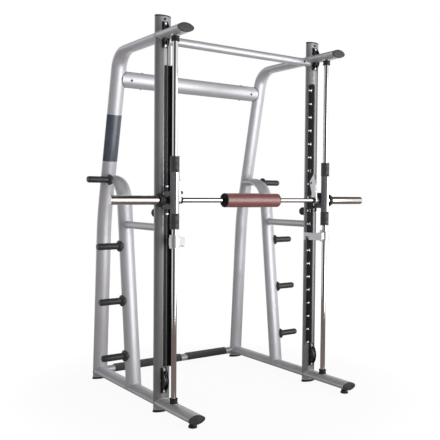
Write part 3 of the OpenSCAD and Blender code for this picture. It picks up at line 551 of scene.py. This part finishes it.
navy_film, shader, place = finish("navy_film")
smear = place.stretched(30, 30, 9).noise(1.0, 4.0)
feed(shader, Base_Color=smear.tint(NAVY, NAVY_PALE), Roughness=0.24 + smear * 0.2)
fixed(shader, Coat_Weight=0.6, Coat_Roughness=0.22)
bump(shader, place.noise(90.0), 0.0002, 0.2)
dress(navy_film, "label_panel")


# Bolts: black socket screws with domed heads, which hold the cross tubes' end plugs and the posts'
# caps, and smaller ones through the edges of the upper rear tube.
COAT_BLACK = (0.014, 0.014, 0.016)
COAT_SCUFFED = (0.075, 0.075, 0.08)
HEAD = [(0, 0), (0, 7.0), (2.0, 7.0), (4.0, 6.2), (5.4, 4.6), (5.8, 3.4), (3.4, 3.2), (3.4, 0)]
SMALL_HEAD = [(0, 0), (0, 5.0), (1.4, 5.0), (2.9, 4.2), (3.8, 3.0), (4.0, 2.2), (2.4, 2.1), (2.4, 0)]
BOLT_IN, EDGE_BOLT_IN, POST_BOLT_Z = 0.085, 0.165, 2.176

black_coat, shader, place = finish("black_powder_coat")
scuff = place.noise(14.0, 6.0).step(0.56, 0.74) * place.noise(220.0, 3.0)
peel = place.noise(380.0, 2.0)
feed(shader, Base_Color=(scuff * 0.7 + peel * 0.1).tint(COAT_BLACK, COAT_SCUFFED))
feed(shader, Roughness=0.30 + scuff * 0.3 + peel * 0.06)
fixed(shader, Coat_Weight=0.2, Coat_Roughness=0.25)
bump(shader, peel, 0.0003, 0.25)

up_leg = np.array([0, -math.sin(HIGH_LEAN), math.cos(HIGH_LEAN)])
fore_leg = np.array([0, -math.cos(HIGH_LEAN), -math.sin(HIGH_LEAN)])
heads = []
for side in (-1, 1):
    cross = at_side(side, BOLT_IN, rear_leg_y(REAR_CROSS_Z), REAR_CROSS_Z)
    edge = at_side(side, EDGE_BOLT_IN, rear_leg_y(REAR_CROSS_Z), REAR_CROSS_Z)
    heads += [
        turned(HEAD, at_side(side, BOLT_IN, -ROUND_R, TOP_CROSS_Z), -Y, 24, (6, 7)),
        turned(HEAD, at_side(side, 0, -TUBE_DEPTH, POST_BOLT_Z), -Y, 24, (6, 7)),
        turned(HEAD, cross + TUBE_DEPTH * fore_leg, fore_leg, 24, (6, 7)),
        turned(SMALL_HEAD, edge + TUBE_HALF * up_leg, up_leg, 24, (6, 7)),
        turned(SMALL_HEAD, edge - TUBE_HALF * up_leg, -up_leg, 24, (6, 7)),
    ]
bolts = mesh_piece("socket_screws", heads, black_coat, "frame")
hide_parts("cross_tube_bolts")


# Plate horns: turned steel pins with a charcoal coat, rubbed thin by the plates that slide on. Each
# stands in a collar that is dished to the leg, swells to a rim and tapers to the pin.
CHARCOAL = (0.036, 0.036, 0.038)
CHARCOAL_RUBBED = (0.13, 0.13, 0.135)
HORNS = [(0.35248, 0.245), (0.38927, 0.573), (0.42606, 0.901), (0.56471, 1.30419)]
HORN_COLLAR = [
    (-24, 0), (-24, 18), (-16, 25), (-8, 30.5), (-2, 33.2), (0.5, 33.6), (1.2, 34), (5.0, 34), (6.2, 33.0),
    (7.5, 29), (10, 24), (13, 21.2), (14, 20.2), (14, 0),
]

charcoal_coat, shader, place = finish("charcoal_coat")
rubbed = (place.along(900, 0, 0).math("SINE") * 0.2 + place.noise(55.0, 5.0)).step(0.52, 0.92)
feed(shader, Base_Color=(rubbed * 0.7).tint(CHARCOAL, CHARCOAL_RUBBED), Roughness=0.38 + rubbed * 0.12)
feed(shader, Metallic=rubbed * 0.4)
bump(shader, place.noise(500.0), 0.0003, 0.3)
dress(charcoal_coat, "left_plate_horns", "right_plate_horns")
collars = mesh_piece(
    "dished_horn_collars",
    [turned(HORN_COLLAR, at_side(side, -TUBE_HALF, y, z), side * X) for side in (-1, 1) for y, z in HORNS],
    charcoal_coat, "frame",
)
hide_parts("horn_collars")


# Guide rods and racks: ground and hard chromed rods, seated in black rubber cups on a bright washer
# at both ends. Racks are black angles with chromed pegs.
CHROME = (0.78, 0.78, 0.79)
CHROME_OILED = (0.68, 0.66, 0.65)
RACK_BLACK = (0.010, 0.010, 0.011)
RACK_SCUFFED = (0.030, 0.030, 0.032)
ROD_Y, ROD_LOW, ROD_HIGH = -0.135, 0.075, 2.065
CUP = [
    (2.5, 15.1), (2.5, 23), (5, 23), (9, 21.4), (16, 21.6),
    (24, 22.6), (28, 23), (28, 21.4), (20, 18.6), (12, 15.1),
]
WASHER = [(-5, 15.1), (-5, 25.2), (1.9, 25.2), (2.5, 24.6), (2.5, 15.1)]

chrome_plate, shader, place = finish("hard_chrome")
oil = place.noise(9.0, 5.0)
grind = place.stretched(60, 60, 4000).noise(1.0, 2.0)
feed(shader, Base_Color=oil.tint(CHROME, CHROME_OILED), Roughness=0.05 + oil * 0.06 + grind * 0.03)
fixed(shader, Metallic=1.0)
bump(shader, grind, 0.00004, 0.12)
dress(chrome_plate, "left_guide_rod", "right_guide_rod", "left_rack_pegs", "right_rack_pegs", "pulley_pins")
dress(black_coat, "pulley_brackets")

rack_black, shader, place = finish("rack_black")
scuff = place.stretched(40, 40, 6).noise(1.0, 5.0).step(0.5, 0.8)
feed(shader, Base_Color=scuff.tint(RACK_BLACK, RACK_SCUFFED), Roughness=0.42 + scuff * 0.2)
fixed(shader, Specular_IOR_Level=0.25)
bump(shader, place.noise(380.0, 2.0), 0.0003, 0.25)
dress(rack_black, "left_rack", "right_rack")
rod_ends = [(side, z, way) for side in (-1, 1) for z, way in ((ROD_LOW, Z), (ROD_HIGH, -Z))]
cups = mesh_piece(
    "rod_cups", [turned(CUP, at_side(side, 0, ROD_Y, z), way) for side, z, way in rod_ends],
    black_rubber, "frame", wraps=True,
)
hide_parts("rod_collars")
mesh_piece(
    "rod_washers", [turned(WASHER, at_side(side, 0, ROD_Y, z), way) for side, z, way in rod_ends],
    chrome_plate, "frame", wraps=True,
)


# Counterbalance: nylon sheaves in black brackets that zinc bolts hold to the posts, a dark steel rope
# of twisted strands, and plain cast iron weights inside the posts.
NYLON = (0.045, 0.045, 0.047)
NYLON_POLISHED = (0.11, 0.11, 0.112)
ROPE = (0.07, 0.07, 0.075)
ROPE_BRIGHT = (0.30, 0.30, 0.31)
IRON = (0.10, 0.098, 0.095)
IRON_RUST = (0.16, 0.105, 0.075)
BRIGHT = (0.84, 0.84, 0.87)
BRIGHT_DULL = (0.72, 0.72, 0.76)
STRAND = 0.007
PULLEYS = (0.178, 2.090)
PULLEY_Y, BRACKET_FACE, BRACKET_BOLT_RISE, PIN_END = -0.021, -0.029, 0.060, 0.0145
BRACKET_BOLT = [(0, 0), (0, 8.0), (1.2, 8.0), (1.2, 6.6), (5.0, 6.6), (5.8, 5.6), (5.8, 0)]
PIN_NUT = [(0, 0), (0, 9.0), (3.2, 9.0), (3.9, 8.0), (3.9, 0)]

sheave_nylon, shader, place = finish("sheave_nylon")
polish = place.noise(140.0, 3.0)
feed(shader, Base_Color=polish.tint(NYLON, NYLON_POLISHED), Roughness=0.45 - polish * 0.15)
bump(shader, place.noise(800.0), 0.0002, 0.3)
dress(sheave_nylon, "left_top_pulley", "left_low_pulley", "right_top_pulley", "right_low_pulley")

steel_rope, shader, place = finish("steel_rope")
lay = (place.along(1.6, 1.6, 1) * (2 * math.pi / STRAND)).math("SINE").step(-0.9, 0.9)
feed(shader, Base_Color=lay.tint(ROPE, ROPE_BRIGHT), Roughness=0.48 - lay * 0.12)
fixed(shader, Metallic=0.9)
bump(shader, lay, 0.0006, 0.9)
dress(steel_rope, "left_cable", "right_cable")

cast_iron, shader, place = finish("weight_iron")
rust = place.noise(35.0, 6.0).step(0.5, 0.75)
feed(shader, Base_Color=(rust * 0.5).tint(IRON, IRON_RUST))
feed(shader, Roughness=0.62 + rust * 0.2, Metallic=0.6 - rust * 0.4)
bump(shader, place.noise(500.0, 4.0), 0.0006, 0.5)
dress(cast_iron, "left_counterweight", "right_counterweight")

bright_steel, shader, place = finish("bright_steel")
brush = place.stretched(120, 120, 2400).noise(1.0, 3.0)
dull = place.noise(26.0, 4.0)
feed(shader, Base_Color=dull.tint(BRIGHT, BRIGHT_DULL), Roughness=0.30 + brush * 0.12 + dull * 0.08)
fixed(shader, Metallic=0.75)
bump(shader, brush, 0.0001, 0.3)
fittings = []
for side in (-1, 1):
    for z in PULLEYS:
        for end in (-1, 1):
            bolt_place = at_side(side, 0, BRACKET_FACE, z + end * BRACKET_BOLT_RISE)
            fittings.append(turned(BRACKET_BOLT, bolt_place, -Y, 24, (3, 4)))
        for end in (-1, 1):
            nut_place = at_side(side, end * PIN_END, PULLEY_Y, z)
            fittings.append(turned(PIN_NUT, nut_place, -side * end * X, 24, (1, 2)))
mesh_piece("bracket_fittings", fittings, bright_steel, "frame")


# Carriages: grey coated tubes that ride the rods on linear bushes in black housings at both ends, with
# a bright strip between them. The bar block is bolted to the tube, and the rope is clamped to it.
CARRIAGE_GREY = (0.13, 0.13, 0.14)
CARRIAGE_PALE = (0.18, 0.18, 0.19)
BUSH_BLACK = (0.035, 0.035, 0.037)
BUSH_PALE = (0.07, 0.07, 0.073)
BRONZE = (0.42, 0.28, 0.11)
BRONZE_DARK = (0.25, 0.16, 0.07)
TUBE_LOW, TUBE_HIGH = 1.0375, 1.4125
HOUSING = [
    (0, 24.05), (0, 25.6), (0.5, 26), (20, 26), (21, 25.3),
    (23, 25.3), (24, 26), (70, 26), (74, 25.6), (75, 24.05),
]
STRIP_HALF, STRIP_FRONT, STRIP_BACK, STRIP_EASE = 0.0055, -0.1620, -0.1606, 0.0006
STRIP_END, NUB_END, NUB_Y = 0.078, 0.068, -0.1605
NUB = [(0, 0), (0, 6.5), (3.0, 6.5), (4.6, 5.2), (5.2, 3.0), (5.2, 0)]
BAR_Y, BAR_Z = -0.092, 1.185
BLOCK_HALF, BLOCK_BOLT_Y, BLOCK_BOLT_RISE = 0.022, -0.058, 0.034
CLAMP_NUT = [(0, 2.7), (0, 9.2), (6.4, 9.2), (7.2, 8.4), (7.2, 2.7)]
CABLE_Y, CLAMP_END = -0.052, 0.0725

carriage_coat, shader, place = finish("carriage_coat")
cloud = place.stretched(60, 60, 1.5).noise(1.0, 3.0)
feed(shader, Base_Color=cloud.tint(CARRIAGE_GREY, CARRIAGE_PALE), Roughness=0.50 + cloud * 0.1)
fixed(shader, Specular_IOR_Level=0.25)
bump(shader, place.noise(420.0), 0.0002, 0.25)
dress(carriage_coat, "left_carriage_tube", "right_carriage_tube")

bush_plastic, shader, place = finish("bush_housing")
speck = place.noise(260.0, 4.0)
feed(shader, Base_Color=speck.tint(BUSH_BLACK, BUSH_PALE), Roughness=0.34 + speck * 0.15)
bump(shader, speck, 0.0002, 0.3)
dress(bush_plastic, "linear_bushes")

bush_bronze, shader, place = finish("bush_bronze")
turning = place.stretched(3000, 80, 80).noise(1.0, 2.0)
feed(shader, Base_Color=turning.tint(BRONZE_DARK, BRONZE), Roughness=0.28 + turning * 0.2)
fixed(shader, Metallic=1.0)
bump(shader, turning, 0.0001, 0.3)
dress(bush_bronze, "bar_bushes")
dress(black_coat, "left_bar_block", "right_bar_block")
dress(charcoal_coat, "cable_clamps")

mesh_piece(
    "bush_housings",
    [
        turned(HOUSING, at_side(side, 0, ROD_Y, z), way)
        for side in (-1, 1) for z, way in ((TUBE_LOW, Z), (TUBE_HIGH, -Z))
    ],
    bush_plastic, "carriages", wraps=True,
)


def strip(side, low, high):
    """A bright strip with eased edges: a rounded rectangle across, carried up from low to high, and
    folded shut at both ends."""
    turn = np.linspace(0, 2 * math.pi, 32, endpoint=False)
    wide = np.clip(np.cos(turn) * 1.6, -1, 1) * STRIP_HALF
    thick = np.clip(np.sin(turn) * 1.6, -1, 1) * (STRIP_BACK - STRIP_FRONT) / 2
    size = np.array([0, 1 - STRIP_EASE / STRIP_HALF, 1, 1, 1 - STRIP_EASE / STRIP_HALF, 0])[:, None]
    z = np.array([low, low, low + STRIP_EASE, high - STRIP_EASE, high, high])[:, None]
    return at_side(side, size * wide, (STRIP_FRONT + STRIP_BACK) / 2 + size * thick, z)


mesh_piece(
    "carriage_strips", [strip(side, TUBE_LOW + STRIP_END, TUBE_HIGH - STRIP_END) for side in (-1, 1)],
    chrome_plate, "carriages",
)
mesh_piece(
    "strip_nubs",
    [
        turned(NUB, at_side(side, 0, NUB_Y, z), -Y, 24)
        for side in (-1, 1) for z in (TUBE_LOW + NUB_END, TUBE_HIGH - NUB_END)
    ],
    bush_plastic, "carriages",
)
screws = []
for side in (-1, 1):
    for face in (-1, 1):
        for rise in (-1, 1):
            screw_place = at_side(side, face * BLOCK_HALF, BLOCK_BOLT_Y, BAR_Z + rise * BLOCK_BOLT_RISE)
            screws.append(turned(HEAD, screw_place, -side * face * X, 24, (6, 7)))
mesh_piece("block_screws", screws, bright_steel, "carriages")
mesh_piece(
    "clamp_nuts",
    [
        turned(CLAMP_NUT, at_side(side, 0, CABLE_Y, BAR_Z + end * CLAMP_END), end * Z, 24, (1, 2, 3))
        for side in (-1, 1) for end in (-1, 1)
    ],
    bright_steel, "carriages", wraps=True,
)


# Bar: a hard chromed shaft with a plate sleeve at both ends. A chromed cone and a grooved rubber
# collar stop the plates, and a chromed plug closes the sleeve.
HUB = [(24, 14.1), (24, 18), (26, 20.5), (36, 22.5), (50, 31), (55.5, 31.5), (55.9, 30.5), (55.9, 14.1)]
STOP_COLLAR = [
    (56, 14.1), (56, 36.4), (57.6, 38), (63, 38), (64, 36.6), (66.5, 36.6),
    (67.5, 38), (76, 38), (79, 36.6), (80, 34), (80, 14.1),
]
BAR_WARM = (0.80, 0.78, 0.76)
BAR_OILED = (0.74, 0.69, 0.65)

bar_chrome, shader, place = finish("bar_chrome")
oil = place.noise(9.0, 5.0)
grind = place.stretched(4000, 60, 60).noise(1.0, 2.0)
feed(shader, Base_Color=oil.tint(BAR_WARM, BAR_OILED), Roughness=0.04 + oil * 0.05 + grind * 0.02)
fixed(shader, Metallic=1.0)
bump(shader, grind, 0.00004, 0.15)
dress(bar_chrome, "bar_shaft", "left_plate_sleeve", "right_plate_sleeve", "sleeve_end_caps")
mesh_piece(
    "sleeve_cones", [turned(HUB, at_side(side, 0, BAR_Y, BAR_Z), side * X, 48) for side in (-1, 1)],
    bar_chrome, "bar", wraps=True,
)
stop_collars = mesh_piece(
    "grooved_collars",
    [turned(STOP_COLLAR, at_side(side, 0, BAR_Y, BAR_Z), side * X, 48) for side in (-1, 1)],
    black_rubber, "bar", wraps=True,
)
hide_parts("sleeve_collars")


# Hooks: flame-cut plates of bright steel that are keyed to the bar and kept by rubber rings. A short
# stem with a black ball knob stands on each ring.
KNOB_STEM = [(18, 0), (18, 3.2), (33, 3.2), (34, 4.6), (36, 4.6), (36, 0)]
KNOB = [
    (35.5, 0), (35.5, 4.5), (37.5, 7.2), (41, 9.0), (44.5, 9.4),
    (48, 8.2), (50.6, 5.2), (51.6, 1.8), (51.6, 0),
]
KNOB_IN = 0.063

dress(bright_steel, "left_hook", "right_hook")
dress(black_rubber, "hook_rings")
knob_ways = {-1: np.array([0, -0.25, 0.97]), 1: np.array([0, -0.30, -0.95])}
mesh_piece(
    "knob_stems",
    [turned(KNOB_STEM, at_side(side, KNOB_IN, BAR_Y, BAR_Z), way, 20) for side, way in knob_ways.items()],
    bright_steel, "bar",
)
mesh_piece(
    "ball_knobs",
    [turned(KNOB, at_side(side, KNOB_IN, BAR_Y, BAR_Z), way, 28) for side, way in knob_ways.items()],
    black_rubber, "bar",
)


# Bar pad: a black foam roll on the bar, covered in reddish-brown vinyl that is glued shut along a seam
# at the back. The cover stops short of the ends, where the foam shows.
PAD_RED = (0.31, 0.108, 0.099)
PAD_DARK = (0.20, 0.066, 0.060)
FOAM = (0.004, 0.004, 0.004)
FOAM_PALE = (0.014, 0.013, 0.013)
pad_low, pad_high = (np.array(c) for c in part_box("bar_pad"))
PAD_MID = (pad_low + pad_high) / 2
PAD_HALF = (pad_high[0] - pad_low[0]) / 2
PAD_PROUD, COVER_SHORT = 0.003, 0.008
PAD_R = (pad_high[2] - pad_low[2]) / 2 + PAD_PROUD
PAD_ROUND, BAR_R, CROWN, SWELL = 0.005, 0.0142, 0.0010, 0.0012
END_ROWS, EDGE_ROWS, BODY_ROWS = 10, 8, 150
SEAM_AT, SEAM_DEPTH, SEAM_WIDTH, SEAM_HELD = 0.9, 0.0016, 0.035, 0.06
GATHER, GATHER_REACH, GATHER_COUNT = 0.0006, 0.014, 26
PRESSURE, STIFFNESS, SWELL_STEPS = 4, 40, 20


def pad_roll(around=128):
    """A roll about the X axis, row by row from its left end: the end face from the bar to the rim,
    a quarter circle of edge, the body with a slight crown, and the same again reversed. The cover is
    gathered near the ends and dips in a groove along the seam."""
    turn = np.linspace(0, 2 * math.pi, around, endpoint=False)[None, :]
    rim = PAD_R - CROWN - SWELL
    face = np.linspace(BAR_R, rim - PAD_ROUND, END_ROWS)
    bend = np.linspace(0, math.pi / 2, EDGE_ROWS + 1)[1:]
    body = np.linspace(0, 1, BODY_ROWS + 2)[1:-1]
    end_x = np.concatenate([np.full(END_ROWS, -PAD_HALF), -PAD_HALF + PAD_ROUND * (1 - np.cos(bend))])
    end_r = np.concatenate([face, rim - PAD_ROUND + PAD_ROUND * np.sin(bend)])
    body_x = (2 * body - 1) * (PAD_HALF - PAD_ROUND)
    x = np.concatenate([end_x, body_x, -end_x[::-1]])[:, None]
    r = np.concatenate([end_r, rim + CROWN * np.sin(math.pi * body), end_r[::-1]])[:, None]
    covered = r > rim - PAD_ROUND * 0.9
    folds = np.cos(GATHER_COUNT * turn + 2 * np.sin(3 * turn))
    gather = GATHER * np.exp(-(PAD_HALF - np.abs(x)) / GATHER_REACH) * folds
    seam = SEAM_DEPTH * np.exp(-((np.angle(np.exp(1j * (turn - SEAM_AT)))) / SEAM_WIDTH) ** 2)
    r = r + (gather - seam) * covered
    return PAD_MID + np.stack([x + 0 * turn, r * np.cos(turn), -r * np.sin(turn)], -1)


pad_vinyl, shader, place = finish("pad_vinyl")
hide = place.node("ShaderNodeTexVoronoi", {"Vector": place, "Scale": 620.0}, feature="DISTANCE_TO_EDGE")
pore = hide.step(0.0, 0.22)
worn = place.noise(24.0, 5.0)
feed(shader, Base_Color=(pore * 0.5 + worn * 0.6).tint(PAD_DARK, PAD_RED), Roughness=0.40 - worn * 0.12)
fixed(shader, Coat_Weight=1.0, Coat_Roughness=0.32)
bump(shader, pore + worn * 0.3, 0.0004, 0.4)

pad_foam, shader, place = finish("pad_foam")
cell = place.noise(1400.0, 3.0)
feed(shader, Base_Color=cell.tint(FOAM, FOAM_PALE), Roughness=0.8 + cell * 0.15)
bump(shader, cell, 0.0006, 0.7)

pad = mesh_piece("bar_pad_cover", [pad_roll()], pad_vinyl, "bar", wraps=True)
pad.data.materials.append(pad_foam)
corners = np.empty(len(pad.data.vertices) * 3)
pad.data.vertices.foreach_get("co", corners)
corners = corners.reshape(-1, 3)
middles = np.empty(len(pad.data.polygons) * 3)
pad.data.polygons.foreach_get("center", middles)
at_end = np.abs(middles.reshape(-1, 3)[:, 0] - PAD_MID[0]) > PAD_HALF - COVER_SHORT
pad.data.polygons.foreach_set("material_index", at_end.astype(np.int32))

# The foam presses the cover out between its seam and its rims, and no point moves further than SWELL
out_from_bar = corners - PAD_MID
angle = np.arctan2(-out_from_bar[:, 2], out_from_bar[:, 1])
at_seam = np.abs(np.angle(np.exp(1j * (angle - SEAM_AT)))) < SEAM_HELD
held = np.flatnonzero(at_seam | (np.abs(out_from_bar[:, 0]) > PAD_HALF - PAD_ROUND * 1.2))
group = pad.vertex_groups.new(name="held")
group.add(held.tolist(), 1.0, "REPLACE")
cloth = pad.modifiers.new("swell", "CLOTH")
cloth.settings.use_pressure = True
cloth.settings.uniform_pressure_force = PRESSURE
cloth.settings.vertex_group_mass = "held"
cloth.settings.tension_stiffness = STIFFNESS
cloth.settings.compression_stiffness = STIFFNESS
cloth.settings.effector_weights.gravity = 0
cloth.collision_settings.use_collision = False
for step in range(1, SWELL_STEPS + 1):
    scene.frame_set(step)
swollen = pad.evaluated_get(bpy.context.evaluated_depsgraph_get()).data
blown = np.empty(len(swollen.vertices) * 3)
swollen.vertices.foreach_get("co", blown)
shift = blown.reshape(-1, 3) - corners
reach = np.linalg.norm(shift, axis=1, keepdims=True)
corners = corners + shift * np.minimum(1, SWELL / np.maximum(reach, 1e-9))
pad.modifiers.remove(cloth)
pad.vertex_groups.remove(group)
scene.frame_set(1)
pad.data.vertices.foreach_set("co", corners.ravel())
pad.data.update()
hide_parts("bar_pad")


# Safety stops: turned sleeves that slide on the rods and machined arms that swing on to a peg, both
# of bright plated steel.
dress(bright_steel, "left_stop_sleeve", "right_stop_sleeve", "left_stop_arm", "right_stop_arm")
